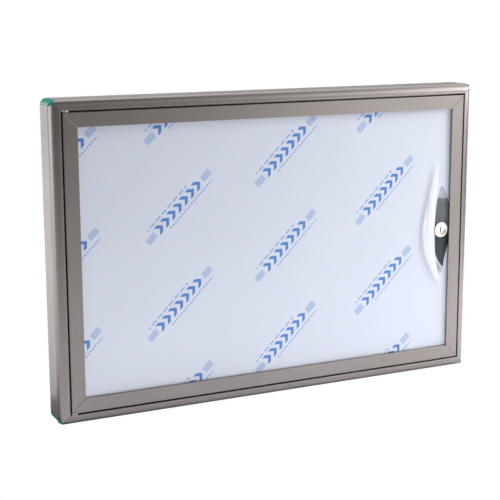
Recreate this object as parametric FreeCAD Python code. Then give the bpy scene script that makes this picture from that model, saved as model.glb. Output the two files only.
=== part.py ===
import FreeCAD, Part
import math
import os
from FreeCAD import Vector

# A wall-hung notice board with a glazed, locking door, in millimetres.
# The origin is the centre of the wall plane: X to the right, Y into the wall, Z up.
# In a ring of four bars, u is the distance in from the ring's outer edge and y is the depth.

# Case, outside sizes
CASE_WIDTH = 600.0
CASE_HEIGHT = 400.0
CASE_DEPTH = 40.0

# Case profile
CASE_WALL = 1.6
SHOULDER_R = 12.0
LIP_WIDTH = 13.0
LIP_EDGE_R = 0.4
FLANGE_SETBACK = 16.4
FLANGE_T = 1.5
FLANGE_REACH = 27.5
LEDGE_T = 1.5
LEDGE_REACH = 16.0

# Corner pieces of the case
NOSE_R = 8.5
CORNER_LEG = 45.0
CORNER_CORE = 16.0
INSERT_FIT = 0.1

# Back of the case
BOARD_T = 6.0
BOARD_FIT = 0.4
SHEET_T = 0.8
BOARD_SCREW_R = 1.6
BOARD_SCREW_HEAD_R = 3.2
BOARD_SCREW_BITE = 2.0
BOARD_SCREW_PITCH = 180.0
BOARD_SCREW_RECESS = (0.9, 3.4, 1.1)
SCREW_FIT = 0.1
FIXING_HOLE_R = 3.0
FIXING_INSET = 45.0

# Door profile
DOOR_GAP = 2.0
DOOR_PROUD = 0.6
DOOR_FACE_WIDTH = 18.0
DOOR_DEPTH = 14.0
DOOR_WALL = 1.5
DOOR_EDGE_R = 1.0
DOOR_CHAMBER = 9.0
DOOR_BACK_LIP = 2.5
DOOR_KEY_LEG = 35.0

# Glazing, its film and its beads
GLAZING_RECESS = 3.5
GLAZING_T = 3.0
GLAZING_EDGE_GAP = 0.5
FILM_T = 0.3
BEAD_WIDTH = 3.0
BEAD_FIT = 0.05
FILM_HOLE_HALF = 62.5
FILM_HOLE_LEFT = 11.0
FILM_HOLE_RIGHT = 14.0

# Seal between the case and the door
SEAL_INSET = 8.5
SEAL_WIDTH = 3.0
SEAL_CROWN = 0.8
SEAL_GAP = 0.3

# Hinge pins and bushes
PIN_R = 1.4
PIN_INSET = 4.0
PIN_SETBACK = 4.4
PIN_SEAT = 18.0
PIN_RUN_FIT = 0.05
PIN_HEAD_ROOM = 1.5
BUSH_R = 2.0
BUSH_TAIL = 1.0
WASHER_R = 4.0
WASHER_GAP = 0.35
WASHER_SLOT = 1.6

# Lock
LOCK_INSET = 30.5
LOCK_HEIGHT = 0.0
LOCK_HEAD_R = 10.5
LOCK_HEAD_T = 2.5
LOCK_HEAD_EDGE_R = 0.9
LOCK_DISH_R = 8.6
LOCK_DISH_DEPTH = 1.2
BARREL_R = 8.0
BARREL_FLAT = 6.8
BARREL_FIT = 0.15
BARREL_END_GAP = 0.5
PLUG_R = 5.5
PLUG_SINK = 0.2
PLUG_FIT = 0.05
KEY_SLOT_WIDTH = 1.8
KEY_SLOT_HEIGHT = 8.0
KEY_SLOT_DEPTH = 9.0
NUT_FLATS = 20.0
NUT_T = 4.0
PLATE_WIDTH = 30.0
PLATE_HEIGHT = 100.0
PLATE_T = 2.0
PLATE_DROP = 6.0
TAIL_SIZE = 7.0
CAM_T = 2.0
CAM_GAP = 0.3
CAM_HUB_R = 8.0
CAM_ARM_WIDTH = 12.0
CAM_OVERLAP = 7.0
CAM_FIT = 0.05
CAM_SCREW_R = 2.0
CAM_SCREW_HEAD_R = 3.75
CAM_SCREW_HEAD_T = 2.2
CAM_SCREW_BITE = 6.0
CAM_SCREW_RECESS = (1.1, 4.4, 1.4)

# Places worked out from the sizes above
FRONT = -CASE_DEPTH
FLANGE_FRONT = FRONT + FLANGE_SETBACK
FLANGE_BACK = FLANGE_FRONT + FLANGE_T
LEDGE_BACK = -BOARD_T
LEDGE_FRONT = LEDGE_BACK - LEDGE_T
DOOR_EDGE = LIP_WIDTH + DOOR_GAP
DOOR_WIDTH = CASE_WIDTH - 2 * DOOR_EDGE
DOOR_HEIGHT = CASE_HEIGHT - 2 * DOOR_EDGE
DOOR_FACE = FRONT - DOOR_PROUD
DOOR_BACK = DOOR_FACE + DOOR_DEPTH
CHAMBER_END = DOOR_WALL + DOOR_CHAMBER
REBATE = CHAMBER_END + DOOR_WALL
FILM_FRONT = DOOR_FACE + GLAZING_RECESS
GLAZING_FRONT = FILM_FRONT + FILM_T
GLAZING_BACK = GLAZING_FRONT + GLAZING_T
PLATE_BACK = GLAZING_BACK + PLATE_T
PIN_X = -DOOR_WIDTH / 2 + PIN_INSET
PIN_Y = DOOR_FACE + PIN_SETBACK
LOCK_X = DOOR_WIDTH / 2 - LOCK_INSET
LOCK_FRONT = GLAZING_FRONT - LOCK_HEAD_T
CAM_FRONT = FLANGE_BACK + CAM_GAP
CAM_BACK = CAM_FRONT + CAM_T
BARREL_END = CAM_FRONT - BARREL_END_GAP
PLUG_FRONT = LOCK_FRONT + LOCK_DISH_DEPTH + PLUG_SINK

SIDES = ("left", "right", "top", "bottom")
CORNERS = {
    "top_left": (-1, 1),
    "top_right": (1, 1),
    "bottom_left": (-1, -1),
    "bottom_right": (1, -1),
}
SPARE = 5.0


# Outlines and simple solids

def arc(centre_a, centre_b, radius, start, end):
    """Middle and end of an arc, from its start angle to its end angle in degrees."""
    points = []
    for angle in ((start + end) / 2, end):
        turn = math.radians(angle)
        points += [centre_a + radius * math.cos(turn), centre_b + radius * math.sin(turn)]
    return tuple(points)


def face(outline, to_space):
    """Face inside an outline: each step is the end of a line, or the middle and end of an arc."""
    edges = []
    last = outline[0]
    closing = [] if outline[-1][-2:] == outline[0] else [outline[0]]
    for step in outline[1:] + closing:
        start = to_space(*last[-2:])
        end = to_space(*step[-2:])
        if len(step) == 4:
            edges.append(Part.Arc(start, to_space(*step[:2]), end).toShape())
        else:
            edges.append(Part.LineSegment(start, end).toShape())
        last = step
    return Part.Face(Part.Wire(edges))


def block(x0, x1, y0, y1, z0, z1):
    return Part.makeBox(x1 - x0, y1 - y0, z1 - z0, Vector(x0, y0, z0))


def rod_y(x, z, radius, y0, y1):
    return Part.makeCylinder(radius, y1 - y0, Vector(x, y0, z), Vector(0, 1, 0))


def rod_z(x, y, radius, z0, z1):
    low, high = min(z0, z1), max(z0, z1)
    return Part.makeCylinder(radius, high - low, Vector(x, y, low), Vector(0, 0, 1))


def plate_y(outline, y0, y1):
    """Flat plate with an outline in X and Z, from depth y0 to y1."""
    return face(outline, lambda x, z: Vector(x, y0, z)).extrude(Vector(0, y1 - y0, 0))


def turned_y(outline, x, z):
    """Solid turned about an axis along Y; the outline holds radius and depth."""
    section = face(outline, lambda radius, y: Vector(x + radius, y, z))
    return section.revolve(Vector(x, 0, z), Vector(0, 1, 0), 360)


def rectangle(u0, u1, y0, y1):
    return [(u0, y0), (u1, y0), (u1, y1), (u0, y1)]


# Rings of four mitred bars

def cross_recess(x, z, size, head):
    """Cross-shaped driver recess of a width, length and depth, sunk from the head's face."""
    width, length, depth = (size[0] / 2, size[1] / 2, size[2])
    upright = block(x - width, x + width, head - depth, head + SPARE, z - length, z + length)
    level = block(x - length, x + length, head - depth, head + SPARE, z - width, z + width)
    return upright.fuse(level)


def on_side(side, width, height, u, y, along):
    """Point on one side of a ring: u in from its outer edge, y the depth, along its length."""
    if side == "left":
        return Vector(-width / 2 + u, y, along)
    if side == "right":
        return Vector(width / 2 - u, y, along)
    if side == "top":
        return Vector(along, y, height / 2 - u)
    return Vector(along, y, -height / 2 + u)


def straight_bar(side, width, height, outline):
    half = (height if side in ("left", "right") else width) / 2 + SPARE
    start = on_side(side, width, height, 0, 0, -half)
    end = on_side(side, width, height, 0, 0, half)
    section = face(outline, lambda u, y: on_side(side, width, height, u, y, -half))
    return section.extrude(end - start)


def mitred_bar(side, width, height, outline):
    """Straight bar cut at 45 degrees at both ends."""
    reach = min(width, height) / 2 - SPARE
    half = (height if side in ("left", "right") else width) / 2
    corners = []
    for u, along in ((-SPARE, -half - SPARE), (-SPARE, half + SPARE),
                     (reach, half - reach), (reach, reach - half)):
        place = on_side(side, width, height, u, 0, along)
        corners.append((place.x, place.z))
    wedge = plate_y(corners, FRONT - SPARE, SPARE)
    return straight_bar(side, width, height, outline).common(wedge)


# Case

def case_envelope(inset, back, reach):
    """Case profile's outer shape, moved in by an inset, from the front to a depth."""
    return [
        (inset, back),
        (inset, FRONT + SHOULDER_R),
        arc(SHOULDER_R, FRONT + SHOULDER_R, SHOULDER_R - inset, 180, 270),
        (reach, FRONT + inset),
        (reach, back),
    ]


def case_profile():
    edge_centre = LIP_WIDTH - LIP_EDGE_R
    return [
        (0, 0),
        (0, FRONT + SHOULDER_R),
        arc(SHOULDER_R, FRONT + SHOULDER_R, SHOULDER_R, 180, 270),
        (edge_centre, FRONT),
        arc(edge_centre, FRONT + LIP_EDGE_R, LIP_EDGE_R, 270, 360),
        (LIP_WIDTH, FLANGE_FRONT),
        (FLANGE_REACH, FLANGE_FRONT),
        (FLANGE_REACH, FLANGE_BACK),
        (CASE_WALL, FLANGE_BACK),
        (CASE_WALL, LEDGE_FRONT),
        (LEDGE_REACH, LEDGE_FRONT),
        (LEDGE_REACH, LEDGE_BACK),
        (CASE_WALL, LEDGE_BACK),
        (CASE_WALL, 0),
    ]


def in_corner(corner):
    """Places a point u in from the case's side and w in from its top or bottom."""
    across, up = CORNERS[corner]
    return lambda u, w, y: Vector(across * (CASE_WIDTH / 2 - u), y, up * (CASE_HEIGHT / 2 - w))


def corner_prism(corner, outline, y0, y1):
    to_space = in_corner(corner)
    return face(outline, lambda u, w: to_space(u, w, y0)).extrude(Vector(0, y1 - y0, 0))


def corner_envelope(corner, inset, back):
    """Space inside both of a corner's case profiles, moved in by an inset."""
    to_space = in_corner(corner)
    reach = CORNER_LEG + SPARE
    outline = case_envelope(inset, back, reach)
    side = face(outline, lambda u, y: to_space(u, 0, y)).extrude(to_space(0, reach, 0) - to_space(0, 0, 0))
    end = face(outline, lambda w, y: to_space(0, w, y)).extrude(to_space(reach, 0, 0) - to_space(0, 0, 0))
    return side.common(end)


def corner_cut(corner):
    """Tip that is sawn off the case's mitred corner, for the corner piece's nose."""
    outline = [(-SPARE, NOSE_R + SPARE), (NOSE_R + SPARE, -SPARE), (-SPARE, -SPARE)]
    return corner_prism(corner, outline, FRONT - SPARE, SPARE)


def case_rail(side):
    chamber_end = LIP_WIDTH - CASE_WALL
    chamber = straight_bar(side, CASE_WIDTH, CASE_HEIGHT,
                           case_envelope(CASE_WALL, FLANGE_FRONT, LIP_WIDTH + SHOULDER_R))
    chamber = chamber.common(straight_bar(side, CASE_WIDTH, CASE_HEIGHT,
                                          rectangle(0, chamber_end, FRONT, FLANGE_FRONT)))
    rail = mitred_bar(side, CASE_WIDTH, CASE_HEIGHT, case_profile()).cut(chamber)
    for corner in CORNERS:
        if side in corner:
            rail = rail.cut(corner_cut(corner))
    if side in ("top", "bottom"):
        up = 1 if side == "top" else -1
        rail = rail.cut(rod_z(PIN_X, PIN_Y, BUSH_R + INSERT_FIT, up * (CASE_HEIGHT / 2 - LIP_WIDTH - SPARE),
                              up * (CASE_HEIGHT / 2 - chamber_end)))
    for screw_side, x, z in board_screw_places():
        if screw_side == side:
            rail = rail.cut(rod_y(x, z, BOARD_SCREW_R + SCREW_FIT, LEDGE_FRONT - SPARE, SPARE))
    return rail


def corner_piece(corner):
    near = CASE_WALL + INSERT_FIT
    far = LIP_WIDTH - CASE_WALL - INSERT_FIT
    legs = corner_prism(corner, [(near, near), (near, CORNER_LEG), (far, CORNER_LEG), (far, far),
                                 (CORNER_LEG, far), (CORNER_LEG, near)], FRONT, FLANGE_FRONT - INSERT_FIT)
    legs = legs.common(corner_envelope(corner, near, FLANGE_FRONT - INSERT_FIT))
    nose = corner_prism(corner, [(0, NOSE_R), arc(NOSE_R, NOSE_R, NOSE_R, 180, 270)], FRONT, 0)
    nose = nose.common(corner_envelope(corner, 0, 0))
    edge = NOSE_R - near
    back = CORNER_CORE - near
    core = corner_prism(corner, [(near, edge), (edge, near), (back, near), (near, back)],
                        FLANGE_BACK + INSERT_FIT, LEDGE_FRONT - INSERT_FIT)
    piece = legs.fuse(nose).fuse(core).removeSplitter()
    across, up = CORNERS[corner]
    if across < 0:
        lip = CASE_HEIGHT / 2 - LIP_WIDTH
        top = lip + CASE_WALL + BUSH_TAIL + 2 * PIN_HEAD_ROOM
        low, high = sorted((up * lip, up * top))
        room = BUSH_R + 2 * INSERT_FIT
        piece = piece.cut(block(PIN_X - room, PIN_X + room, FRONT, PIN_Y + room, low, high))
    return piece


# Back of the case

def board_screw_places():
    """Screws along the ledge, spread evenly at about the pitch: side, X and Z of each."""
    places = []
    inset = (CASE_WALL + LEDGE_REACH) / 2
    for side in SIDES:
        clear = (CASE_HEIGHT if side in ("left", "right") else CASE_WIDTH) - 2 * CORNER_LEG
        count = max(2, round(clear / BOARD_SCREW_PITCH) + 1)
        for index in range(count):
            along = -clear / 2 + clear * index / (count - 1)
            place = on_side(side, CASE_WIDTH, CASE_HEIGHT, inset, 0, along)
            places.append((side, place.x, place.z))
    return places


def board_screw(x, z, grow=0.0):
    """Countersunk screw with its head flush at the back, or the hole for it when grown."""
    sink = BOARD_SCREW_HEAD_R - BOARD_SCREW_R
    tip = LEDGE_FRONT - BOARD_SCREW_BITE
    return turned_y([(0, 0), (BOARD_SCREW_HEAD_R + grow, 0), (BOARD_SCREW_R + grow, -sink),
                     (BOARD_SCREW_R + grow, tip), (0, tip)], x, z)


def board_screws():
    screws = []
    for side, x, z in board_screw_places():
        screws.append(board_screw(x, z).cut(cross_recess(x, z, BOARD_SCREW_RECESS, 0)))
    return Part.makeCompound(screws)


def fixing_holes(y0, y1):
    holes = []
    for across, up in CORNERS.values():
        holes.append(rod_y(across * (CASE_WIDTH / 2 - FIXING_INSET), up * (CASE_HEIGHT / 2 - FIXING_INSET),
                           FIXING_HOLE_R, y0, y1))
    return holes


def backing_board():
    inset = CASE_WALL + BOARD_FIT
    half_width = CASE_WIDTH / 2 - inset
    half_height = CASE_HEIGHT / 2 - inset
    board = block(-half_width, half_width, LEDGE_BACK, 0, -half_height, half_height)
    clip = NOSE_R + 2 * BOARD_FIT + SPARE
    clip_outline = [(-SPARE, clip), (clip, -SPARE), (-SPARE, -SPARE)]
    for corner in CORNERS:
        board = board.cut(corner_prism(corner, clip_outline, LEDGE_BACK - SPARE, SPARE))
    for side, x, z in board_screw_places():
        board = board.cut(board_screw(x, z, SCREW_FIT))
    for hole in fixing_holes(LEDGE_BACK - SPARE, SPARE):
        board = board.cut(hole)
    return board


def display_sheet():
    inset = LEDGE_REACH + BOARD_FIT
    half_width = CASE_WIDTH / 2 - inset
    half_height = CASE_HEIGHT / 2 - inset
    sheet = block(-half_width, half_width, LEDGE_BACK - SHEET_T, LEDGE_BACK, -half_height, half_height)
    for hole in fixing_holes(LEDGE_BACK - SHEET_T - SPARE, SPARE):
        sheet = sheet.cut(hole)
    return sheet


def seal(side):
    outer = DOOR_EDGE + SEAL_INSET
    inner = outer + SEAL_WIDTH
    crown = DOOR_BACK + SEAL_GAP
    shoulder = crown + SEAL_CROWN
    outline = [(outer, FLANGE_FRONT), (outer, shoulder),
               ((outer + inner) / 2, crown, inner, shoulder), (inner, FLANGE_FRONT)]
    return mitred_bar(side, CASE_WIDTH, CASE_HEIGHT, outline)


# Hinge

def hinge_bush(up):
    """Nylon bush: a slotted washer in the gap, and a tail through the case's lip."""
    lip = CASE_HEIGHT / 2 - LIP_WIDTH
    washer = rod_z(PIN_X, PIN_Y, WASHER_R, up * (lip - DOOR_GAP + WASHER_GAP), up * lip)
    tail = rod_z(PIN_X, PIN_Y, BUSH_R, up * lip, up * (lip + CASE_WALL + BUSH_TAIL))
    bush = washer.fuse(tail)
    bush = bush.cut(rod_z(PIN_X, PIN_Y, PIN_R + PIN_RUN_FIT, up * (lip - SPARE), up * (lip + SPARE)))
    low, high = sorted((up * (lip - SPARE), up * lip))
    half = WASHER_SLOT / 2
    slot = block(PIN_X - half, PIN_X + half, PIN_Y - WASHER_R - SPARE, PIN_Y, low, high)
    return bush.cut(slot)


def hinge_pin(up):
    lip = CASE_HEIGHT / 2 - LIP_WIDTH
    return rod_z(PIN_X, PIN_Y, PIN_R, up * (DOOR_HEIGHT / 2 - PIN_SEAT),
                 up * (lip + CASE_WALL + BUSH_TAIL + PIN_HEAD_ROOM))


def pin_seat(up):
    """Hole in the door for a hinge pin."""
    return rod_z(PIN_X, PIN_Y, PIN_R + PIN_RUN_FIT,
                 up * (DOOR_HEIGHT / 2 - PIN_SEAT), up * (DOOR_HEIGHT / 2 + SPARE))


# Door

def door_profile():
    inner = DOOR_FACE_WIDTH - DOOR_WALL
    return [
        (0, DOOR_BACK),
        (0, DOOR_FACE + DOOR_EDGE_R),
        arc(DOOR_EDGE_R, DOOR_FACE + DOOR_EDGE_R, DOOR_EDGE_R, 180, 270),
        (DOOR_FACE_WIDTH, DOOR_FACE),
        (DOOR_FACE_WIDTH, FILM_FRONT),
        (inner, FILM_FRONT),
        (inner, DOOR_FACE + DOOR_WALL),
        (REBATE, DOOR_FACE + DOOR_WALL),
        (REBATE, DOOR_BACK - DOOR_WALL),
        (REBATE + DOOR_BACK_LIP, DOOR_BACK - DOOR_WALL),
        (REBATE + DOOR_BACK_LIP, DOOR_BACK),
    ]


def door_bar(side):
    chamber = straight_bar(side, DOOR_WIDTH, DOOR_HEIGHT,
                           rectangle(DOOR_WALL, CHAMBER_END, DOOR_FACE + DOOR_WALL, DOOR_BACK - DOOR_WALL))
    bar = mitred_bar(side, DOOR_WIDTH, DOOR_HEIGHT, door_profile()).cut(chamber)
    if side == "top":
        bar = bar.cut(pin_seat(1))
    if side == "bottom":
        bar = bar.cut(pin_seat(-1))
    return bar


def door_key(corner):
    """L-shaped key that joins two door bars inside their chambers."""
    across, up = CORNERS[corner]
    near = DOOR_WALL + INSERT_FIT
    far = CHAMBER_END - INSERT_FIT
    outline = []
    for u, w in ((near, near), (near, DOOR_KEY_LEG), (far, DOOR_KEY_LEG), (far, far), (DOOR_KEY_LEG, far),
                 (DOOR_KEY_LEG, near)):
        outline.append((across * (DOOR_WIDTH / 2 - u), up * (DOOR_HEIGHT / 2 - w)))
    key = plate_y(outline, DOOR_FACE + DOOR_WALL + INSERT_FIT, DOOR_BACK - DOOR_WALL - INSERT_FIT)
    if across < 0:
        key = key.cut(pin_seat(up))
    return key


def barrel_section(y0, y1, grow=0.0):
    """Lock barrel: a round bar with two flats, or the hole for it when grown."""
    barrel = rod_y(LOCK_X, LOCK_HEIGHT, BARREL_R + grow, y0, y1)
    flat = BARREL_FLAT + grow
    tall = BARREL_R + SPARE
    return barrel.common(block(LOCK_X - flat, LOCK_X + flat, y0, y1,
                               LOCK_HEIGHT - tall, LOCK_HEIGHT + tall))


def pane(y0, y1):
    inset = REBATE + GLAZING_EDGE_GAP
    return block(-DOOR_WIDTH / 2 + inset, DOOR_WIDTH / 2 - inset, y0, y1,
                 -DOOR_HEIGHT / 2 + inset, DOOR_HEIGHT / 2 - inset)


def glazing():
    hole = barrel_section(GLAZING_FRONT - SPARE, GLAZING_BACK + SPARE, BARREL_FIT)
    return pane(GLAZING_FRONT, GLAZING_BACK).cut(hole)


def protective_film():
    """Film on the glazing, with a leaf-shaped opening around the lock."""
    tip = (LOCK_X, LOCK_HEIGHT + FILM_HOLE_HALF)
    right = (LOCK_X + FILM_HOLE_RIGHT, LOCK_HEIGHT, LOCK_X, LOCK_HEIGHT - FILM_HOLE_HALF)
    left = (LOCK_X - FILM_HOLE_LEFT, LOCK_HEIGHT) + tip
    leaf = plate_y([tip, right, left], FILM_FRONT - SPARE, GLAZING_FRONT + SPARE)
    return pane(FILM_FRONT, GLAZING_FRONT).cut(leaf)


def glazing_bead(side):
    outer = REBATE + BEAD_FIT
    return mitred_bar(side, DOOR_WIDTH, DOOR_HEIGHT,
                      rectangle(outer, outer + BEAD_WIDTH, GLAZING_BACK, DOOR_BACK - DOOR_WALL))


# Lock

def lock_plate():
    """Plate with round ends behind the glazing."""
    half = PLATE_WIDTH / 2
    middle = LOCK_HEIGHT - PLATE_DROP
    top = middle + PLATE_HEIGHT / 2 - half
    bottom = middle - PLATE_HEIGHT / 2 + half
    outline = [(LOCK_X + half, middle), (LOCK_X + half, top), arc(LOCK_X, top, half, 0, 180),
               (LOCK_X - half, bottom), arc(LOCK_X, bottom, half, 180, 360)]
    plate = plate_y(outline, GLAZING_BACK, PLATE_BACK)
    return plate.cut(barrel_section(GLAZING_BACK - SPARE, PLATE_BACK + SPARE, BARREL_FIT))


def lock_body():
    bore = PLUG_R + PLUG_FIT
    dish_floor = LOCK_FRONT + LOCK_DISH_DEPTH
    edge_centre = LOCK_HEAD_R - LOCK_HEAD_EDGE_R
    head = turned_y([
        (bore, GLAZING_FRONT),
        (bore, dish_floor),
        (LOCK_DISH_R, LOCK_FRONT),
        (edge_centre, LOCK_FRONT),
        arc(edge_centre, LOCK_FRONT + LOCK_HEAD_EDGE_R, LOCK_HEAD_EDGE_R, 270, 360),
        (LOCK_HEAD_R, GLAZING_FRONT),
    ], LOCK_X, LOCK_HEIGHT)
    barrel = barrel_section(GLAZING_FRONT, BARREL_END)
    barrel = barrel.cut(rod_y(LOCK_X, LOCK_HEIGHT, bore, GLAZING_FRONT - SPARE, BARREL_END + SPARE))
    return head.fuse(barrel).removeSplitter()


def lock_nut():
    radius = NUT_FLATS / 2 / math.cos(math.pi / 6)
    outline = []
    for index in range(6):
        turn = math.radians(60 * index + 30)
        outline.append((LOCK_X + radius * math.cos(turn), LOCK_HEIGHT + radius * math.sin(turn)))
    nut = plate_y(outline, PLATE_BACK, PLATE_BACK + NUT_T)
    return nut.cut(rod_y(LOCK_X, LOCK_HEIGHT, BARREL_R + BARREL_FIT,
                         PLATE_BACK - SPARE, PLATE_BACK + NUT_T + SPARE))


def lock_plug():
    plug = rod_y(LOCK_X, LOCK_HEIGHT, PLUG_R, PLUG_FRONT, BARREL_END)
    half = TAIL_SIZE / 2
    tail = block(LOCK_X - half, LOCK_X + half, BARREL_END, CAM_BACK, LOCK_HEIGHT - half, LOCK_HEIGHT + half)
    plug = plug.fuse(tail).removeSplitter()
    wide = KEY_SLOT_WIDTH / 2
    tall = KEY_SLOT_HEIGHT / 2
    slot = block(LOCK_X - wide, LOCK_X + wide, PLUG_FRONT - SPARE, PLUG_FRONT + KEY_SLOT_DEPTH,
                 LOCK_HEIGHT - tall, LOCK_HEIGHT + tall)
    bore = rod_y(LOCK_X, LOCK_HEIGHT, CAM_SCREW_R, CAM_BACK - CAM_SCREW_BITE, CAM_BACK + SPARE)
    return plug.cut(slot).cut(bore)


def lock_cam():
    """Cam that hangs down at rest, clear of the case; a quarter turn puts it behind the flange."""
    flange_edge = CASE_WIDTH / 2 - FLANGE_REACH
    reach = flange_edge - LOCK_X + CAM_OVERLAP
    half = CAM_ARM_WIDTH / 2
    hub = rod_y(LOCK_X, LOCK_HEIGHT, CAM_HUB_R, CAM_FRONT, CAM_BACK)
    end = LOCK_HEIGHT - reach
    corner = half / 2
    arm = plate_y([(LOCK_X - half, LOCK_HEIGHT), (LOCK_X - half, end + corner),
                   arc(LOCK_X - half + corner, end + corner, corner, 180, 270),
                   (LOCK_X + half - corner, end),
                   arc(LOCK_X + half - corner, end + corner, corner, 270, 360),
                   (LOCK_X + half, LOCK_HEIGHT)], CAM_FRONT, CAM_BACK)
    hole = TAIL_SIZE / 2 + CAM_FIT
    cam = hub.fuse(arm).removeSplitter()
    return cam.cut(block(LOCK_X - hole, LOCK_X + hole, CAM_FRONT - SPARE, CAM_BACK + SPARE,
                         LOCK_HEIGHT - hole, LOCK_HEIGHT + hole))


def cam_screw():
    head = rod_y(LOCK_X, LOCK_HEIGHT, CAM_SCREW_HEAD_R, CAM_BACK, CAM_BACK + CAM_SCREW_HEAD_T)
    shank = rod_y(LOCK_X, LOCK_HEIGHT, CAM_SCREW_R, CAM_BACK - CAM_SCREW_BITE, CAM_BACK)
    recess = cross_recess(LOCK_X, LOCK_HEIGHT, CAM_SCREW_RECESS, CAM_BACK + CAM_SCREW_HEAD_T)
    return head.fuse(shank).removeSplitter().cut(recess)


def build():
    nodes = {}
    for side in SIDES:
        nodes["case_rail_" + side] = case_rail(side)
        nodes["seal_" + side] = seal(side)
        nodes["glazing_bead_" + side] = glazing_bead(side)
    for side in ("left", "right"):
        nodes["door_stile_" + side] = door_bar(side)
    for side in ("top", "bottom"):
        nodes["door_rail_" + side] = door_bar(side)
    for corner in CORNERS:
        nodes["corner_piece_" + corner] = corner_piece(corner)
        nodes["door_key_" + corner] = door_key(corner)
    for name, up in (("top", 1), ("bottom", -1)):
        nodes["hinge_bush_" + name] = hinge_bush(up)
        nodes["hinge_pin_" + name] = hinge_pin(up)
    nodes["backing_board"] = backing_board()
    nodes["display_sheet"] = display_sheet()
    nodes["board_screws"] = board_screws()
    nodes["glazing"] = glazing()
    nodes["protective_film"] = protective_film()
    nodes["lock_plate"] = lock_plate()
    nodes["lock_body"] = lock_body()
    nodes["lock_nut"] = lock_nut()
    nodes["lock_plug"] = lock_plug()
    nodes["lock_cam"] = lock_cam()
    nodes["cam_screw"] = cam_screw()
    return nodes


os.makedirs("parts", exist_ok=True)
for name, shape in build().items():
    shape.exportStep("parts/" + name + ".step")
    state = "valid" if shape.isValid() else "not valid"
    print(name, len(shape.Solids), "solids", round(shape.Volume), "mm3", state)
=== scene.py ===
import math
import bpy
from mathutils import Matrix, Vector


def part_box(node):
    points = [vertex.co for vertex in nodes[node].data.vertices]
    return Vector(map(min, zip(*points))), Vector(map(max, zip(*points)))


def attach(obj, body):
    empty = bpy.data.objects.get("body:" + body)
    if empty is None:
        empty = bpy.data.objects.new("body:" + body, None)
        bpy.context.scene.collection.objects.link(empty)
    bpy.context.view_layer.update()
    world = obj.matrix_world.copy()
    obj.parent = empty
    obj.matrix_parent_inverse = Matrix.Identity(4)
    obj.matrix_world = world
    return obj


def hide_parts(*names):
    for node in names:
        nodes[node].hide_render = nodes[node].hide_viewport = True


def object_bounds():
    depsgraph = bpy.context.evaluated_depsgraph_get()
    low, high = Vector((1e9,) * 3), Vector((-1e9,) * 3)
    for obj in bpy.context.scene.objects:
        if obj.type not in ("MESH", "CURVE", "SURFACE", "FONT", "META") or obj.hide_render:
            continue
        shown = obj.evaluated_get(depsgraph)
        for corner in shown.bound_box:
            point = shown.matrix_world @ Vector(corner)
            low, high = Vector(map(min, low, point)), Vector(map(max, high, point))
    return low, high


# A lockable notice board. Everything is in metres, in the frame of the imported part.

# Camera, fitted to the photograph's straight edges
CAMERA_PLACE = (-0.7347, -1.4583, 0.3159)
CAMERA_AZIMUTH = 26.066
CAMERA_DIP = 11.361
CAMERA_ROLL = -0.211
FOCAL_PIXELS = 1254.1
IMAGE_WIDTH = 500
SENSOR = 36.0

# Protective film: thickness, reach of its bulge, ends of its opening above the lock, and mesh divisions
FILM_T = 0.00025
FILM_STEP = 0.0012
BULGE_REACH = 0.097
BULGE_LEFT = 0.050
OPENING_TOP = 0.0618
OPENING_BOTTOM = -0.0632
FILM_OUTER_ROWS = 12
FILM_FLAT_COLUMNS = 24
FILM_BULGE_COLUMNS = 70
FILM_RIGHT_COLUMNS = 10
WELD_REACH = 0.00002
SHARP_ANGLE = 50

# Edges of the film's opening, as height and distance right of the lock
OPENING_LEFT_EDGE = [(-0.0632, 0.0000), (-0.0605, -0.0025), (-0.0462, -0.0059), (-0.0279, -0.0084),
                     (-0.0108, -0.0094), (0.0118, -0.0094), (0.0286, -0.0082), (0.0438, -0.0064),
                     (0.0560, -0.0028), (0.0618, 0.0000)]
OPENING_RIGHT_EDGE = [(-0.0632, 0.0000), (-0.0603, 0.0026), (-0.0520, 0.0057), (-0.0408, 0.0079),
                      (-0.0296, 0.0110), (-0.0100, 0.0140), (0.0250, 0.0142), (0.0475, 0.0103),
                      (0.0555, 0.0060), (0.0618, 0.0000)]

# Ridges of the lifted film: height, distance right of the lock, and how proud it stands
RIDGE_NEAR = [(-0.070, -0.0075, 0.0000), (-0.050, -0.0115, 0.0008), (-0.020, -0.0150, 0.0014),
              (0.010, -0.0168, 0.0027), (0.030, -0.0175, 0.0034), (0.050, -0.0164, 0.0034),
              (0.070, -0.0130, 0.0024), (0.085, -0.0112, 0.0010), (0.096, -0.0105, 0.0000)]
RIDGE_FAR = [(-0.085, -0.0010, 0.0000), (-0.075, -0.0040, 0.0008), (-0.062, -0.0110, 0.0022),
             (-0.044, -0.0200, 0.0033), (-0.024, -0.0268, 0.0037), (-0.004, -0.0297, 0.0036),
             (0.016, -0.0282, 0.0028), (0.034, -0.0240, 0.0018), (0.052, -0.0190, 0.0008),
             (0.070, -0.0150, 0.0000)]
FOLD = [(-0.060, -0.0090, 0.0000), (-0.040, -0.0150, 0.0005), (-0.015, -0.0205, 0.0008),
        (0.010, -0.0222, 0.0007), (0.040, -0.0205, 0.0000)]
RIDGES = [(RIDGE_NEAR, 0.0062, 0.0048), (RIDGE_FAR, 0.0030, 0.0095), (FOLD, 0.0012, 0.0022)]
MOST_LIFT = 0.0034

# Film left in the opening's lower corner: a strip that curls at the tear, and a thin rest beside it
TAB_EDGE = [(-0.0630, -0.0002), (-0.0535, 0.0046), (-0.0499, 0.0015), (-0.0440, -0.0028),
            (-0.0345, -0.0078)]
TAB_HIDDEN = 0.0012
TAB_T = 0.00012
TAB_OFF = 0.00006
TAB_WIDTH = 0.0024
TAB_CURL = 0.0010
CURL_START = 0.55
TAB_ROWS = 36
TAB_COLUMNS = 14
REST_HIDDEN = 0.0030
REST_WIDTH = 0.0090
REST_OFF = 0.00015
REST_CLEAR = 0.55

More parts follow.
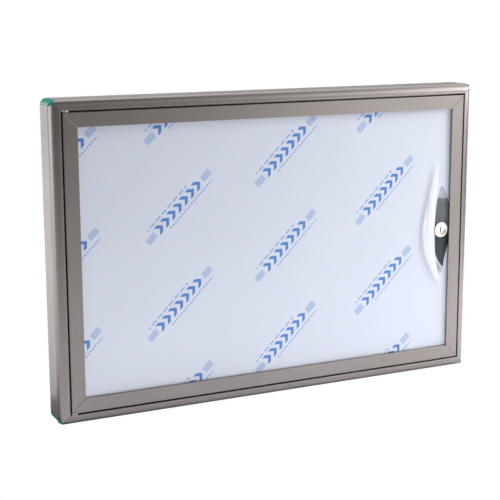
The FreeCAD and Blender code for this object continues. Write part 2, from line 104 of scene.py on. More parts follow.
# Film on the back of the pane, cut away around the lock's plate
REAR_FILM_T = 0.00015
REAR_FILM_OFF = 0.00003
REAR_FILM_EDGE = 0.0005
PLATE_CUT = 0.0012
PATCH_COLUMNS = 16
PATCH_ROWS = 4
NOTCH_COLUMNS = 2

# Generic marks on the film, in millimetres: the cell that repeats, and each kind of mark as its pitch, its
# width, and how it lies across and along the cell's diagonal
CELL_WIDTH = 150.0
CELL_HEIGHT = 124.0
CELL_SHIFT = 63.0
CHEVRONS = (12.0, 5.6, (-6.2, 6.2), (-42.0, 42.0))
DASHES = (11.0, 8.0, (9.2, 11.2), (-50.0, 26.0))
DOTS = (4.4, 2.4, (-12.0, -9.6), (-28.0, 54.0))
BARS = (2.2, 1.3, (-4.4, 4.4), (45.0, 60.0))

# Colours, as the 0 to 255 values that a picture shows
PROFILE_DARK = (154, 147, 143)
PROFILE_LIGHT = (161, 154, 150)
PROFILE_STAIN = (152, 142, 137)
# Edge tone of the profiles: partly wear, partly a painted highlight on the edges
PROFILE_EDGE_WEAR_AND_HIGHLIGHT = (182, 177, 172)
MITRE_LINE = (46, 42, 39)
FILM_SHADE = (226, 231, 243)
FILM_LIGHT = (231, 235, 246)
FILM_SPECK = (150, 156, 170)
# Tone of raised film: partly its own whiter look, partly painted highlight streaks
FILM_RAISED_AND_HIGHLIGHT = (248, 247, 250)
INK_BOLD = (54, 132, 212)
INK_LIGHT = (120, 166, 222)
# Pale layer on the pane: partly dust, partly painted light over the shaded space behind it
PANE_DUST_AND_PAINTED_LIGHT = (222, 226, 240)
NICKEL = (255, 243, 234)
NICKEL_SPECK = (226, 210, 201)

# Mitres lie where |x| - |z| is half of how much wider than high the case and the door are; the dark line at
# a mitre is full near it and gone a little further off
MITRE_OFFSET = 0.1
HAIRLINE_NONE = 0.0005
HAIRLINE_FULL = 0.0002

# Radius at which edges of profiles and of mouldings catch the light
METAL_EDGE = 0.0004
MOULDED_EDGE = 0.0003
EDGE_SAMPLES = 6

# Stage: a paper floor and wall that light the object, grey cards on it, a white bowl and a dim room
FRONT_GLOW = (0.35, -1.0, 0.3)
ROOM_DIM = 0.08
ROOM_BRIGHT = 0.31
GLOW_START = 0.5
GLOW_FULL = 0.94
FLOOR_REACH = 15.0
WALL_Y = 3.2
WALL_HEIGHT = 3.0
SWEEP_R = 1.0
SWEEP_STEPS = 24
SWEEP_DROP = 0.002
CARDS = [("card", (-0.50, 0.31), (-0.032, 0.085), 138, 0.001),
         ("card_foot", (-0.33, -0.288), (-0.037, 0.0), 66, 0.0005)]
CARD_MOTTLE = 8
BOWL_R = 9.0
BOWL_CURVE = 4.0
BOWL_HEIGHT = 9.0
BOWL_TURNS = 96
HIDDEN_USES = ("diffuse", "glossy", "transmission", "shadow")

# Lamps, as name, place, target, width, height and watts: boxes show in reflections, and fills don't
ORIGIN = (0.0, 0.0, 0.0)
BOXES = [("side_box", (0.9, -0.25, 0.4), ORIGIN, 0.4, 0.5, 7.0),
         ("front_box", (1.2, -1.3, 0.1), ORIGIN, 1.0, 1.0, 4.2),
         ("high_box", (1.1, -0.4, 1.0), (0.3, 0.0, 0.0), 1.6, 0.5, 3.8),
         ("top_box", (0.7, -0.35, 1.2), (0.4, -0.1, 0.0), 1.6, 0.6, 1.1),
         ("over_box", (0.0, 0.25, 1.2), (0.0, 0.2, 0.0), 1.8, 0.5, 0.8),
         ("left_box", (-1.6, 0.3, 0.3), ORIGIN, 1.0, 1.2, 7.6),
         ("back_box", (-1.1, 2.4, 0.5), ORIGIN, 0.6, 0.5, 19.2),
         ("rear_box", (0.5, 1.5, 2.3), (0.5, 1.7, 0.0), 6.0, 2.2, 58.0)]
FILLS = [("left_fill", (-1.6, 0.3, 0.3), ORIGIN, 1.0, 1.2, 0.6),
         ("rear_fill", (-0.7, 1.1, 0.5), (-0.6, 0.95, -0.2), 0.6, 0.6, 3.3),
         ("side_fill", (1.2, -0.5, 1.0), ORIGIN, 0.8, 0.8, 3.2),
         ("top_fill", (0.0, -0.2, 0.9), (0.0, -0.2, 0.0), 1.0, 0.3, 3.6),
         ("floor_fill", (-0.1, -0.3, -0.195), (-0.1, -0.3, 0.5), 1.1, 0.45, 1.4)]


def through(points, place, column=1):
    """Smooth curve through a table's rows, read at a place in its first column."""
    if place <= points[0][0]:
        return points[0][column]
    if place >= points[-1][0]:
        return points[-1][column]
    k = next(i for i in range(1, len(points)) if place <= points[i][0])
    rows = [points[max(k - 2, 0)], points[k - 1], points[k], points[min(k + 1, len(points) - 1)]]
    (z0, a0), (z1, a1), (z2, a2), (z3, a3) = [(row[0], row[column]) for row in rows]
    span = z2 - z1
    start = (a2 - a0) / (z2 - z0) * span
    end = (a3 - a1) / (z3 - z1) * span
    t = (place - z1) / span
    return ((2 * t ** 3 - 3 * t ** 2 + 1) * a1 + (t ** 3 - 2 * t ** 2 + t) * start
            + (3 * t ** 2 - 2 * t ** 3) * a2 + (t ** 3 - t ** 2) * end)


# Shader nodes

class Shader:
    """A material's node tree, with one short call per node."""

    def __init__(self, name):
        self.material = bpy.data.materials.new(name)
        self.material.use_nodes = True
        self.tree = self.material.node_tree
        self.tree.nodes.clear()
        self.position = self.add("ShaderNodeTexCoord").outputs["Object"]

    def add(self, kind, inputs=None, **settings):
        node = self.tree.nodes.new(kind)
        for key, value in settings.items():
            setattr(node, key, value)
        for key, value in (inputs or {}).items():
            self.feed(node.inputs[key], value)
        return node

    def feed(self, socket, value):
        if isinstance(value, bpy.types.NodeSocket):
            self.tree.links.new(value, socket)
        else:
            socket.default_value = value

    def math(self, operation, a, b=0.0, c=0.0):
        node = self.add("ShaderNodeMath", {0: a, 1: b, 2: c}, operation=operation)
        return node.outputs[0]

    def axes(self):
        split = self.add("ShaderNodeSeparateXYZ", {"Vector": self.position})
        return split.outputs

    def stretched(self, scale):
        return self.add("ShaderNodeMapping", {"Vector": self.position, "Scale": scale}).outputs["Vector"]

    def noise(self, scale, detail=3.0, vector=None, roughness=0.5):
        node = self.add("ShaderNodeTexNoise", {"Vector": vector or self.position, "Scale": scale,
                                               "Detail": detail, "Roughness": roughness})
        return node.outputs["Fac"]

    def between(self, value, low, high, to_low=0.0, to_high=1.0):
        node = self.add("ShaderNodeMapRange", {"Value": value, "From Min": low, "From Max": high,
                                               "To Min": to_low, "To Max": to_high})
        return node.outputs["Result"]

    def smooth_step(self, value, low, high):
        node = self.add("ShaderNodeMapRange", {"Value": value, "From Min": low, "From Max": high},
                        interpolation_type="SMOOTHSTEP")
        return node.outputs["Result"]

    def mix(self, share, a, b):
        node = self.add("ShaderNodeMix", {0: share, 6: a, 7: b}, data_type="RGBA")
        return node.outputs[2]

    def bump(self, height, depth, strength=1.0, normal=None):
        inputs = {"Height": height, "Distance": depth, "Strength": strength}
        if normal is not None:
            inputs["Normal"] = normal
        return self.add("ShaderNodeBump", inputs).outputs["Normal"]

    def finish(self, shader):
        self.add("ShaderNodeOutputMaterial", {"Surface": shader})
        return self.material


def rgb(red, green, blue):
    """Colour from the 0 to 255 values that a picture shows."""
    linear = []
    for value in (red, green, blue):
        share = value / 255
        linear.append(share / 12.92 if share <= 0.04045 else ((share + 0.055) / 1.055) ** 2.4)
    return (*linear, 1.0)


def profile_metal(name, along):
    """Satin anodised profile: fine lines along the bar, a hairline at each mitre, worn edges that are also
    lightened as a painted highlight.
    """
    s = Shader(name)
    x, _, z = s.axes()
    lengthwise = (60.0, 2500.0, 2500.0) if along == "X" else (2500.0, 2500.0, 60.0)
    broad_lines = (4.0, 260.0, 260.0) if along == "X" else (260.0, 260.0, 4.0)
    lines = s.noise(1.0, 2.0, s.stretched(lengthwise))
    bands = s.noise(1.0, 3.0, s.stretched(broad_lines))
    clouds = s.noise(9.0, 2.0)
    grain = s.noise(5200.0, 1.0)

    from_mitre = s.math("SUBTRACT", s.math("ABSOLUTE", x), s.math("ABSOLUTE", z))
    off_mitre = s.math("ABSOLUTE", s.math("SUBTRACT", from_mitre, MITRE_OFFSET))
    hairline = s.smooth_step(off_mitre, HAIRLINE_NONE, HAIRLINE_FULL)

    rounded = s.add("ShaderNodeBevel", {"Radius": METAL_EDGE}, samples=EDGE_SAMPLES).outputs["Normal"]
    flat = s.add("ShaderNodeNewGeometry").outputs["Normal"]
    likeness = s.add("ShaderNodeVectorMath", {0: rounded, 1: flat}, operation="DOT_PRODUCT")
    # Mask of the profile's sharp edges, which are lightened partly as wear and partly as a painted
    # highlight
    edge_wear_and_highlight = s.smooth_step(likeness.outputs["Value"], 0.995, 0.93)

    tone = s.mix(bands, rgb(*PROFILE_DARK), rgb(*PROFILE_LIGHT))
    tone = s.mix(s.between(clouds, 0.3, 0.7, 0.0, 0.25), tone, rgb(*PROFILE_STAIN))
    # Lighten the edges: partly wear, partly a painted highlight
    tone = s.mix(s.math("MULTIPLY", edge_wear_and_highlight, 0.5), tone, rgb(*PROFILE_EDGE_WEAR_AND_HIGHLIGHT))
    tone = s.mix(s.math("MULTIPLY", hairline, 0.5), tone, rgb(*MITRE_LINE))

    rough = s.between(s.math("ADD", s.math("MULTIPLY", lines, 0.6), s.math("MULTIPLY", clouds, 0.4)),
                      0.3, 0.7, 0.30, 0.40)
    rough = s.math("SUBTRACT", rough, s.math("MULTIPLY", edge_wear_and_highlight, 0.08))
    normal = s.bump(lines, 0.00002, 0.35, rounded)
    normal = s.bump(bands, 0.00005, 0.30, normal)
    normal = s.bump(grain, 0.00002, 0.12, normal)
    normal = s.bump(s.math("SUBTRACT", 1.0, hairline), 0.0002, 0.5, normal)
    shader = s.add("ShaderNodeBsdfPrincipled", {"Base Color": tone, "Metallic": 1.0, "Roughness": rough,
                                                "Normal": normal})
    return s.finish(shader.outputs["BSDF"])


def plain_metal(name, colour, dark, roughness, grain_scale=900.0, depth=0.00003):
    """Plated or cast metal with a fine grain and slight stains."""
    s = Shader(name)
    grain = s.noise(grain_scale, 3.0)
    stains = s.noise(60.0, 3.0)
    tone = s.mix(s.between(stains, 0.35, 0.75, 0.0, 0.5), colour, dark)
    rough = s.between(grain, 0.3, 0.7, roughness - 0.05, roughness + 0.08)
    shader = s.add("ShaderNodeBsdfPrincipled", {"Base Color": tone, "Metallic": 1.0, "Roughness": rough,
                                                "Normal": s.bump(grain, depth, 0.3)})
    return s.finish(shader.outputs["BSDF"])


def turned_metal(name, colour, centre_x, centre_z):
    """Nickel plate polished on a lathe: fine rings about the lock's axis."""
    s = Shader(name)
    x, _, z = s.axes()
    dx = s.math("SUBTRACT", x, centre_x)
    dz = s.math("SUBTRACT", z, centre_z)
    radius = s.math("SQRT", s.math("ADD", s.math("MULTIPLY", dx, dx), s.math("MULTIPLY", dz, dz)))
    rings = s.add("ShaderNodeTexNoise", {"W": s.math("MULTIPLY", radius, 9000.0), "Scale": 1.0,
                                         "Detail": 2.0}, noise_dimensions="1D").outputs["Fac"]
    specks = s.noise(2200.0, 2.0)
    tone = s.mix(s.between(specks, 0.45, 0.75, 0.0, 0.35), colour, rgb(*NICKEL_SPECK))
    rough = s.between(specks, 0.3, 0.7, 0.20, 0.30)
    shader = s.add("ShaderNodeBsdfPrincipled", {"Base Color": tone, "Metallic": 0.72, "Roughness": rough,
                                                "Normal": s.bump(rings, 0.00002, 0.4)})
    return s.finish(shader.outputs["BSDF"])


def moulded(name, colour, shade, roughness, grain_scale=1600.0, depth=0.00004, specular=0.5):
    """Moulded plastic or rubber with a fine surface texture and slight changes of tone."""
    s = Shader(name)
    grain = s.noise(grain_scale, 3.0)
    clouds = s.noise(70.0, 2.0)
    tone = s.mix(s.between(clouds, 0.3, 0.7), colour, shade)
    rough = s.between(grain, 0.3, 0.7, roughness - 0.06, roughness + 0.08)
    rounded = s.add("ShaderNodeBevel", {"Radius": MOULDED_EDGE}, samples=EDGE_SAMPLES).outputs["Normal"]
    shader = s.add("ShaderNodeBsdfPrincipled", {"Base Color": tone, "Roughness": rough,
                                                "Specular IOR Level": specular,
                                                "Normal": s.bump(grain, depth, 0.4, rounded)})
    return s.finish(shader.outputs["BSDF"])


def clear_pane(name, lock, plate_top):
    """Clear acrylic: mirrors by Fresnel and lets the rest through, with fine scratches and some dust; near
    the lock a pale layer is thicker, partly dust and partly painted light that brightens the shaded space
    behind the pane, most of all above the lock's plate.
    """
    s = Shader(name)
    x, _, z = s.axes()
    haze = s.noise(900.0, 3.0)
    scratches = s.noise(1.0, 2.0, s.stretched((1800.0, 1800.0, 90.0)))
    rough = s.between(s.math("ADD", haze, scratches), 0.7, 1.4, 0.03, 0.10)
    glass = s.add("ShaderNodeBsdfTransparent", {"Color": (0.95, 0.97, 0.97, 1.0)})
    gloss = s.add("ShaderNodeBsdfGlossy", {"Color": (1.0, 1.0, 1.0, 1.0), "Roughness": rough})
    share = s.add("ShaderNodeFresnel", {"IOR": 1.49}).outputs["Fac"]
    both = s.add("ShaderNodeMixShader", {0: share, 1: glass.outputs["BSDF"], 2: gloss.outputs["BSDF"]})
    # Above and beside the lock, a pale diffuse layer is partly dust and partly painted light that brightens
    # the shaded space behind the pane
    above = s.smooth_step(z, lock.z - 0.004, lock.z + 0.016)
    beside = s.smooth_step(s.math("ABSOLUTE", s.math("SUBTRACT", x, lock.x)), 0.04, 0.02)
    dust_and_light_smears = s.between(s.noise(240.0, 4.0, roughness=0.7), 0.35, 0.75, 0.08, 0.26)
    dust_and_painted_light = s.add("ShaderNodeBsdfDiffuse", {"Color": rgb(*PANE_DUST_AND_PAINTED_LIGHT)})
    amount = s.math("ADD", 0.006, s.math("MULTIPLY", s.math("MULTIPLY", above, beside), dust_and_light_smears))
    # Over the lock's plate the pale layer is thicker still, as painted light
    over = s.math("MULTIPLY", s.smooth_step(z, plate_top - 0.0005, plate_top + 0.0005), beside)
    amount = s.math("ADD", amount, s.math("MULTIPLY", over, s.math("ADD", dust_and_light_smears, 0.16)))
    with_dust_and_painted_light = s.add("ShaderNodeMixShader", {0: amount, 1: both.outputs["Shader"], 2: dust_and_painted_light.outputs["BSDF"]})
    return s.finish(with_dust_and_painted_light.outputs["Shader"])


def film_marks(s):
    """Two masks of a repeated generic mark: bold chevrons, and fine dashes, dots and bars beside them."""
    x, _, z = s.axes()
    across = s.math("MULTIPLY", x, 1000.0)
    up = s.math("MULTIPLY", z, 1000.0)
    across = s.math("ADD", across, CELL_SHIFT)
    column = s.math("FLOOR", s.math("DIVIDE", across, CELL_WIDTH))
    up = s.math("ADD", up, s.math("MULTIPLY", column, CELL_HEIGHT / 2))
    cell_x = s.math("SUBTRACT", s.math("FLOORED_MODULO", across, CELL_WIDTH), CELL_WIDTH / 2)
    up = s.math("ADD", up, CELL_HEIGHT / 2)
    cell_z = s.math("SUBTRACT", s.math("FLOORED_MODULO", up, CELL_HEIGHT), CELL_HEIGHT / 2)
    run = s.math("MULTIPLY", s.math("ADD", cell_x, cell_z), math.sqrt(0.5))
    rise = s.math("MULTIPLY", s.math("SUBTRACT", cell_z, cell_x), math.sqrt(0.5))

    def within(value, low, high):
        return s.math("MULTIPLY", s.math("GREATER_THAN", value, low), s.math("LESS_THAN", value, high))

    def marks(kind, repeats, along):
        pitch, width, heights, reach = kind
        repeated = s.math("LESS_THAN", s.math("FLOORED_MODULO", repeats, pitch), width)
        inside = s.math("MULTIPLY", within(rise, *heights), within(along, *reach))
        return s.math("MULTIPLY", repeated, inside)

    bold = marks(CHEVRONS, s.math("ADD", run, s.math("ABSOLUTE", rise)), run)
    dashes = marks(DASHES, run, run)
    dots = marks(DOTS, run, run)
    bars = marks(BARS, rise, s.math("ABSOLUTE", run))
    light = s.math("MAXIMUM", s.math("MAXIMUM", dashes, dots), bars)
    return bold, light


def film_plastic(name, marked, clear=0.0):
    """Milky film, slightly wavy, that lets some light through; where it is raised it is paler in streaks,
    partly its own whiter look off the pane and partly painted highlight.
    """
    s = Shader(name)
    waves = s.noise(14.0, 2.0)
    creases = s.noise(1.0, 3.0, s.stretched((90.0, 90.0, 25.0)))
    grain = s.noise(1500.0, 2.0)
    specks = s.smooth_step(s.noise(330.0, 2.0, roughness=0.6), 0.735, 0.76)
    tone = s.mix(waves, rgb(*FILM_SHADE), rgb(*FILM_LIGHT))
    tone = s.mix(s.math("MULTIPLY", specks, 0.12), tone, rgb(*FILM_SPECK))
    raised = s.add("ShaderNodeAttribute", attribute_name="raised").outputs["Fac"]
    # Streaks where the film is raised are paler: partly the lifted film's own whiter look, partly painted
    # highlight along its ridges
    streaks = s.noise(1.0, 3.0, s.stretched((700.0, 700.0, 40.0)))
    streaks = s.between(streaks, 0.40, 0.60, 0.15, 0.80)
    raised_pale_and_highlight = s.math("MULTIPLY", s.smooth_step(raised, 0.15, 0.85), streaks)
    tone = s.mix(raised_pale_and_highlight, tone, rgb(*FILM_RAISED_AND_HIGHLIGHT))
    if marked:
        bold, light = film_marks(s)
        ink = s.noise(700.0, 3.0)
        light_share = s.math("MULTIPLY", light, s.between(ink, 0.3, 0.7, 0.62, 0.9))
        tone = s.mix(light_share, tone, rgb(*INK_LIGHT))
        bold_share = s.math("MULTIPLY", bold, s.between(ink, 0.3, 0.7, 0.85, 1.0))
        tone = s.mix(bold_share, tone, rgb(*INK_BOLD))
    rough = s.between(grain, 0.3, 0.7, 0.36, 0.48)
    normal = s.bump(waves, 0.0012, 0.25)
    normal = s.bump(creases, 0.00025, 0.25, normal)
    normal = s.bump(grain, 0.00001, 0.2, normal)
    skin = s.add("ShaderNodeBsdfPrincipled", {"Base Color": tone, "Roughness": rough, "Normal": normal})
    glow = s.add("ShaderNodeBsdfTranslucent", {"Color": tone})
    both = s.add("ShaderNodeMixShader", {0: 0.28, 1: skin.outputs["BSDF"], 2: glow.outputs["BSDF"]})
    if clear:
        thin = s.add("ShaderNodeBsdfTransparent")
        both = s.add("ShaderNodeMixShader", {0: clear, 1: both.outputs["Shader"], 2: thin.outputs["BSDF"]})
    return s.finish(both.outputs["Shader"])


def floor_paper(name):
    """White paper with faint fibres."""
    s = Shader(name)
    fibres = s.noise(60.0, 4.0)
    tone = s.mix(fibres, (0.86, 0.86, 0.895, 1.0), (0.90, 0.90, 0.935, 1.0))
    shader = s.add("ShaderNodeBsdfPrincipled", {"Base Color": tone, "Roughness": 0.9,
                                                "Specular IOR Level": 0.1,
                                                "Normal": s.bump(fibres, 0.0002, 0.1)})
    return s.finish(shader.outputs["BSDF"])


def even_white(name):
    """Evenly lit white, as of a picture cut out on white."""
    s = Shader(name)
    white = s.add("ShaderNodeEmission", {"Color": (1.0, 1.0, 1.0, 1.0), "Strength": 1.0})
    s.material.cycles.emission_sampling = "NONE"
    return s.finish(white.outputs["Emission"])


# Meshes

def link(name, mesh):
    piece = bpy.data.objects.new(name, mesh)
    bpy.context.scene.collection.objects.link(piece)
    return piece


def grid_sheet(rows):
    """Vertices and faces of a sheet that is given as rows of points of equal length."""
    width = len(rows[0])
    vertices = [point for row in rows for point in row]
    faces = []
    for r in range(len(rows) - 1):
        for c in range(width - 1):
            a = r * width + c
            faces.append((a, a + 1, a + width + 1, a + width))
    return vertices, faces


def thick_sheet(name, patches, thickness, material):
    """Piece made of joined patches, thickened away from its front."""
    vertices, faces = [], []
    for rows in patches:
        more, cells = grid_sheet(rows)
        faces += [tuple(i + len(vertices) for i in cell) for cell in cells]
        vertices += more
    mesh = bpy.data.meshes.new(name)
    mesh.from_pydata(vertices, [], faces)
    piece = link(name, mesh)
    weld = piece.modifiers.new("weld", "WELD")
    weld.merge_threshold = WELD_REACH
    solid = piece.modifiers.new("thickness", "SOLIDIFY")
    solid.thickness = thickness
    solid.offset = -1.0
    bpy.context.view_layer.update()
    done = bpy.data.meshes.new_from_object(piece.evaluated_get(bpy.context.evaluated_depsgraph_get()))
    piece.modifiers.clear()
    piece.data = done
    for polygon in done.polygons:
        polygon.use_smooth = True
    done.set_sharp_from_angle(angle=math.radians(SHARP_ANGLE))
    done.materials.clear()
    done.materials.append(material)
    return piece


def lift(x, z):
    """How far the film stands off the pane, at a place measured from the lock."""
    proud = 0.0
    for table, left_width, right_width in RIDGES:
        away = x - through(table, z, 1)
        width = left_width if away < 0 else right_width
        proud += max(through(table, z, 2), 0.0) * math.exp(-(away / width) ** 2)
    return MOST_LIFT * math.tanh(proud / MOST_LIFT)


def steps(start, end, count):
    return [start + (end - start) * i / count for i in range(count + 1)]


def protective_film(lock, box, material):
    low, high = box
    front = low.y
    heights = steps(low.z, -BULGE_REACH, FILM_OUTER_ROWS)[:-1]
    turns = (-BULGE_REACH, OPENING_BOTTOM, OPENING_TOP, BULGE_REACH)
    for start, end in zip(turns, turns[1:]):
        heights += steps(start, end, round((end - start) / FILM_STEP))[:-1]
    heights += steps(BULGE_REACH, high.z, FILM_OUTER_ROWS)

    def point(x, z):
        return (x, front - lift(x - lock.x, z - lock.z), z)

    left_rows, right_rows = [], []
    for z in heights:
        rise = max(min(z - lock.z, OPENING_TOP), OPENING_BOTTOM)
        left_edge = lock.x + through(OPENING_LEFT_EDGE, rise)
        right_edge = lock.x + through(OPENING_RIGHT_EDGE, rise)
        bulge_start = lock.x - BULGE_LEFT
        left = steps(low.x, bulge_start, FILM_FLAT_COLUMNS)[:-1]
        left += steps(bulge_start, left_edge, FILM_BULGE_COLUMNS)
        right = steps(right_edge, high.x, FILM_RIGHT_COLUMNS)
        left_rows.append([point(x, z) for x in left])
        right_rows.append([point(x, z) for x in right])
    film = thick_sheet("film", [left_rows, right_rows], FILM_T, material)
    mark_raised(film, front)
    return film


def mark_raised(piece, front):
    """Record on each point how far it stands in front of a depth, as a share of the most lift."""
    raised = piece.data.attributes.new("raised", "FLOAT", "POINT")
    for point, row in zip(piece.data.vertices, raised.data):
        row.value = min(max((front - point.co.y) / MOST_LIFT, 0.0), 1.0)


def torn_film(name, lock, pane_front, hidden_by, width, curl, material):
    """Film still on the pane along the tear, whose free edge may curl forward."""
    rows = []
    for rise in steps(TAB_EDGE[0][0], TAB_EDGE[-1][0], TAB_ROWS):
        free = lock.x + through(TAB_EDGE, rise)
        hidden = max(lock.x + through(OPENING_LEFT_EDGE, rise) - hidden_by, free - width)
        row = []
        for share in steps(0.0, 1.0, TAB_COLUMNS):
            proud = curl * max(0.0, (share - CURL_START) / (1 - CURL_START)) ** 2
            depth = pane_front - TAB_OFF - TAB_T - proud
            row.append((hidden + (free - hidden) * share, depth, lock.z + rise))
        rows.append(row)
    return thick_sheet(name, [rows], TAB_T, material)


def rear_film(pane, plate, material):
    """Plain film on the back of the pane, with a notch for the lock's plate."""
    low, high = pane
    left, right = low.x + REAR_FILM_EDGE, high.x - REAR_FILM_EDGE
    bottom, top = low.z + REAR_FILM_EDGE, high.z - REAR_FILM_EDGE
    notch_left = plate[0].x - PLATE_CUT
    notch_bottom, notch_top = plate[0].z - PLATE_CUT, plate[1].z + PLATE_CUT
    front = high.y + REAR_FILM_OFF

    def patch(x0, x1, z0, z1, columns):
        return [[(x, front, z) for x in steps(x0, x1, columns)] for z in steps(z0, z1, PATCH_ROWS)]

    patches = [patch(left, notch_left, notch_top, top, PATCH_COLUMNS),
               patch(left, notch_left, notch_bottom, notch_top, PATCH_COLUMNS),
               patch(left, notch_left, bottom, notch_bottom, PATCH_COLUMNS),
               patch(notch_left, right, notch_top, top, NOTCH_COLUMNS),
               patch(notch_left, right, bottom, notch_bottom, NOTCH_COLUMNS)]
    return thick_sheet("film_rear", patches, REAR_FILM_T, material)


# Stage

def add_camera():
    azimuth, dip, roll = (math.radians(a) for a in (CAMERA_AZIMUTH, CAMERA_DIP, CAMERA_ROLL))
    forward = Vector((math.sin(azimuth) * math.cos(dip), math.cos(azimuth) * math.cos(dip), -math.sin(dip)))
    right = forward.cross(Vector((0, 0, 1))).normalized()
    up = right.cross(forward)
    tilted_right = right * math.cos(roll) + up * math.sin(roll)
    tilted_up = up * math.cos(roll) - right * math.sin(roll)
    camera = bpy.data.objects.new("camera", bpy.data.cameras.new("camera"))
    bpy.context.scene.collection.objects.link(camera)
    camera.data.sensor_width = SENSOR
    camera.data.lens = FOCAL_PIXELS * SENSOR / IMAGE_WIDTH
    turned = Matrix((tilted_right, tilted_up, -forward)).transposed().to_4x4()
    camera.matrix_world = Matrix.Translation(CAMERA_PLACE) @ turned
    bpy.context.scene.camera = camera


def area_light(name, place, target, width, height, watts, shows=True):
    light = bpy.data.lights.new(name, "AREA")
    light.shape = "RECTANGLE"
    light.size = width
    light.size_y = height
    light.energy = watts
    lamp = bpy.data.objects.new(name, light)
    bpy.context.scene.collection.objects.link(lamp)
    lamp.location = place
    lamp.rotation_euler = (Vector(target) - Vector(place)).to_track_quat("-Z", "Y").to_euler()
    lamp.visible_camera = False
    lamp.visible_glossy = shows


def studio():
    """A dim room that is brighter in front, and the lamps."""
    world = bpy.data.worlds.new("studio")
    bpy.context.scene.world = world
    world.use_nodes = True
    tree = world.node_tree
    tree.nodes.clear()
    direction = tree.nodes.new("ShaderNodeTexCoord")
    facing = tree.nodes.new("ShaderNodeVectorMath")
    facing.operation = "DOT_PRODUCT"
    facing.inputs[1].default_value = Vector(FRONT_GLOW).normalized()
    share = tree.nodes.new("ShaderNodeMapRange")
    share.interpolation_type = "SMOOTHSTEP"
    share.inputs["From Min"].default_value = GLOW_START
    share.inputs["From Max"].default_value = GLOW_FULL
    share.inputs["To Min"].default_value = ROOM_DIM
    share.inputs["To Max"].default_value = ROOM_BRIGHT
    background = tree.nodes.new("ShaderNodeBackground")
    output = tree.nodes.new("ShaderNodeOutputWorld")
    tree.links.new(direction.outputs["Generated"], facing.inputs[0])
    tree.links.new(facing.outputs["Value"], share.inputs["Value"])
    tree.links.new(share.outputs["Result"], background.inputs["Strength"])
    tree.links.new(background.outputs["Background"], output.inputs["Surface"])

    for lamp in BOXES:
        area_light(*lamp)
    for lamp in FILLS:
        area_light(*lamp, shows=False)


def stage_sheet(name, rows, material):
    vertices, faces = grid_sheet(rows)
    mesh = bpy.data.meshes.new(name)
    mesh.from_pydata(vertices, [], faces)
    for polygon in mesh.polygons:
        polygon.use_smooth = True
    mesh.materials.append(material)
    sheet = link(name, mesh)
    return sheet


def curved_up(wall, radius, top):
    """Profile from a floor through a curve up a wall, as distances and heights."""
    profile = [(wall - radius, 0.0)]
    for i in range(1, SWEEP_STEPS + 1):
        angle = math.pi / 2 * i / SWEEP_STEPS
        profile.append((wall - radius + radius * math.sin(angle), radius - radius * math.cos(angle)))
    profile.append((wall, top))
    return profile


def pale_sweep(height):
    """Floor that curves up into a wall well behind the object, lights it and isn't seen by the camera."""
    profile = [(-FLOOR_REACH, 0.0)] + curved_up(WALL_Y, SWEEP_R, WALL_HEIGHT)
    rows = [[(x, y, height - SWEEP_DROP + z) for y, z in profile] for x in (-FLOOR_REACH, FLOOR_REACH)]
    sweep = stage_sheet("sweep", rows, floor_paper("sweep_paper"))
    sweep.visible_camera = False


def grey_cards(height):
    """Cards on the floor under the case, which darken its lower edge, the foot of its side and a corner."""
    for name, across, back, light, drop in CARDS:
        dark = light - CARD_MOTTLE
        paper = moulded(name + "_paper", rgb(light, light, light + 1), rgb(dark, dark, dark + 1), 0.8,
                        specular=0.1)
        card = stage_sheet(name, [[(x, y, height - drop) for y in back] for x in across], paper)
        card.visible_camera = False


def white_bowl(height):
    """Floor and round backdrop that only the camera sees, so that they add no light."""
    profile = [(0.0, 0.0)] + curved_up(BOWL_R, BOWL_CURVE, BOWL_HEIGHT)
    rows = []
    for i in range(BOWL_TURNS + 1):
        turn = 2 * math.pi * i / BOWL_TURNS
        rows.append([(reach * math.cos(turn), reach * math.sin(turn), height + z) for reach, z in profile])
    bowl = stage_sheet("bowl", rows, even_white("bowl_white"))
    for use in HIDDEN_USES:
        setattr(bowl, "visible_" + use, False)


# Build

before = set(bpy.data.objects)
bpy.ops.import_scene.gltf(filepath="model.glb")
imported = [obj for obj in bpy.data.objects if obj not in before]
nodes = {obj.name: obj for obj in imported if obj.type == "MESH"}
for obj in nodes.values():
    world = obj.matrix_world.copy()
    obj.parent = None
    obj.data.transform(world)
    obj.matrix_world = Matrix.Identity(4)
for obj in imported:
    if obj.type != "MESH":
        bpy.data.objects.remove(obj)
cad_low, cad_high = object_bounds()
lock_low, lock_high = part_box("lock_body")
lock = (lock_low + lock_high) / 2

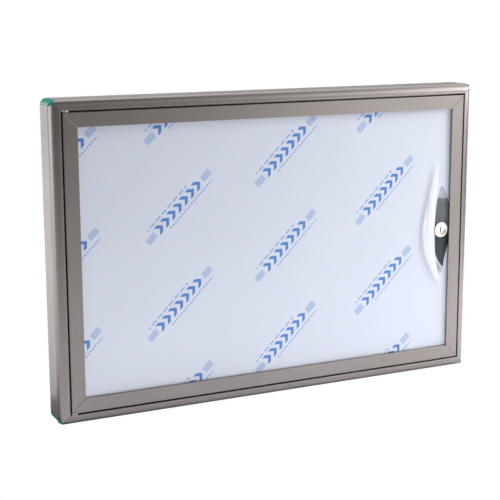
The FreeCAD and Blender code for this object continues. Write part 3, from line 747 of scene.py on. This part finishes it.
upright_metal = profile_metal("profile_metal_upright", "Z")
level_metal = profile_metal("profile_metal_level", "X")
zinc = plain_metal("zinc", rgb(190, 192, 194), rgb(160, 158, 150), 0.32)
nickel = turned_metal("nickel", rgb(*NICKEL), lock.x, lock.z)
looks = {
    "corner_piece": moulded("corner_green", rgb(20, 132, 118), rgb(14, 118, 104), 0.50, specular=0.12),
    "door_key": plain_metal("key_alloy", rgb(176, 177, 180), rgb(150, 150, 152), 0.45, 1400.0),
    "seal": moulded("seal_rubber", rgb(30, 30, 31), rgb(22, 22, 23), 0.62),
    "glazing_bead": moulded("bead_rubber", rgb(34, 34, 35), rgb(26, 26, 27), 0.55),
    "hinge_bush": moulded("white_nylon", rgb(252, 252, 250), rgb(247, 247, 244), 0.30),
    "hinge_pin": plain_metal("pin_steel", rgb(110, 110, 112), rgb(84, 80, 76), 0.3),
    "backing_board": moulded("board_plastic", rgb(150, 152, 154), rgb(140, 142, 144), 0.6, 1400.0),
    "display_sheet": moulded("display_enamel", rgb(236, 237, 238), rgb(233, 234, 236), 0.42, 900.0,
                             0.00001),
    "board_screws": zinc,
    "glazing": clear_pane("clear_acrylic", lock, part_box("lock_plate")[1].z),
    "lock_plate": moulded("slate_paint", rgb(54, 71, 72), rgb(46, 62, 63), 0.34),
    "lock_body": nickel,
    "lock_plug": nickel,
    "lock_nut": zinc,
    "lock_cam": zinc,
    "cam_screw": zinc,
}
for name, node in nodes.items():
    if name.startswith(("case_rail", "door_stile", "door_rail")):
        material = upright_metal if name.endswith(("left", "right")) else level_metal
    else:
        material = next((m for start, m in looks.items() if name.startswith(start)), None)
    if material is not None:
        node.data.materials.clear()
        node.data.materials.append(material)

film = protective_film(lock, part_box("protective_film"), film_plastic("film_printed", marked=True))
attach(film, "door")
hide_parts("protective_film")
plain_film = film_plastic("film_plain", marked=False)
inner_low, inner_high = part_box("glazing_bead_left")[1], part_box("glazing_bead_right")[0]
pane_low, pane_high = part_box("glazing")
bead_low, bead_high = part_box("glazing_bead_bottom")[1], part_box("glazing_bead_top")[0]
rear_space = (Vector((inner_low.x, pane_low.y, bead_low.z)),
              Vector((inner_high.x, pane_high.y, bead_high.z)))
tab = torn_film("film_tab", lock, pane_low.y - REST_OFF, TAB_HIDDEN, TAB_WIDTH, TAB_CURL, plain_film)
thin_film = film_plastic("film_thin", marked=False, clear=REST_CLEAR)
rest = torn_film("film_rest", lock, pane_low.y, REST_HIDDEN, REST_WIDTH, 0.0, thin_film)
rear = rear_film(rear_space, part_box("lock_plate"), plain_film)
for piece in (tab, rest, rear):
    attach(piece, "door")

studio()
pale_sweep(cad_low.z)
grey_cards(cad_low.z)
white_bowl(cad_low.z)
add_camera()
bpy.context.scene.view_settings.view_transform = "Standard"
